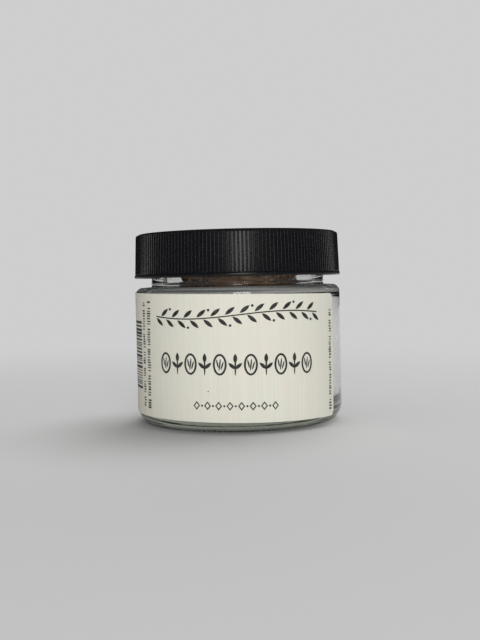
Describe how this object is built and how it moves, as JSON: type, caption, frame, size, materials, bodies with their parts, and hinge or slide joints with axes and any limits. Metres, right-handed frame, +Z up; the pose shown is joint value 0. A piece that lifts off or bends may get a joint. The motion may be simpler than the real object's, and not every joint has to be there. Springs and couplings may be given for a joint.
{
  "type": "jar of whole nutmegs",
  "caption": "Squat clear glass jar with a ribbed black screw cap and a wrapped paper label, filled to the neck with whole nutmegs.",
  "frame": {"origin": "centre of the base, on the plane that the jar stands on", "axes": "+Z up along the jar's axis; -Y out of the label's front; +X to the right of the label as it is read"},
  "size_m": [0.0656, 0.0656, 0.0595],
  "materials": {
    "clear_glass": "clear, polished, faint grey-green in the thick places",
    "black_plastic": "black moulded polypropylene with a soft sheen",
    "cream_paper": "uncoated cream laid paper with black print",
    "nutmeg": "dry, dull brown seed with a wrinkled surface"
  },
  "bodies": {
    "root": {"jar": "clear_glass", "cap": "black_plastic", "label": "cream_paper", "nutmegs": "nutmeg"}
  },
  "joints": []
}
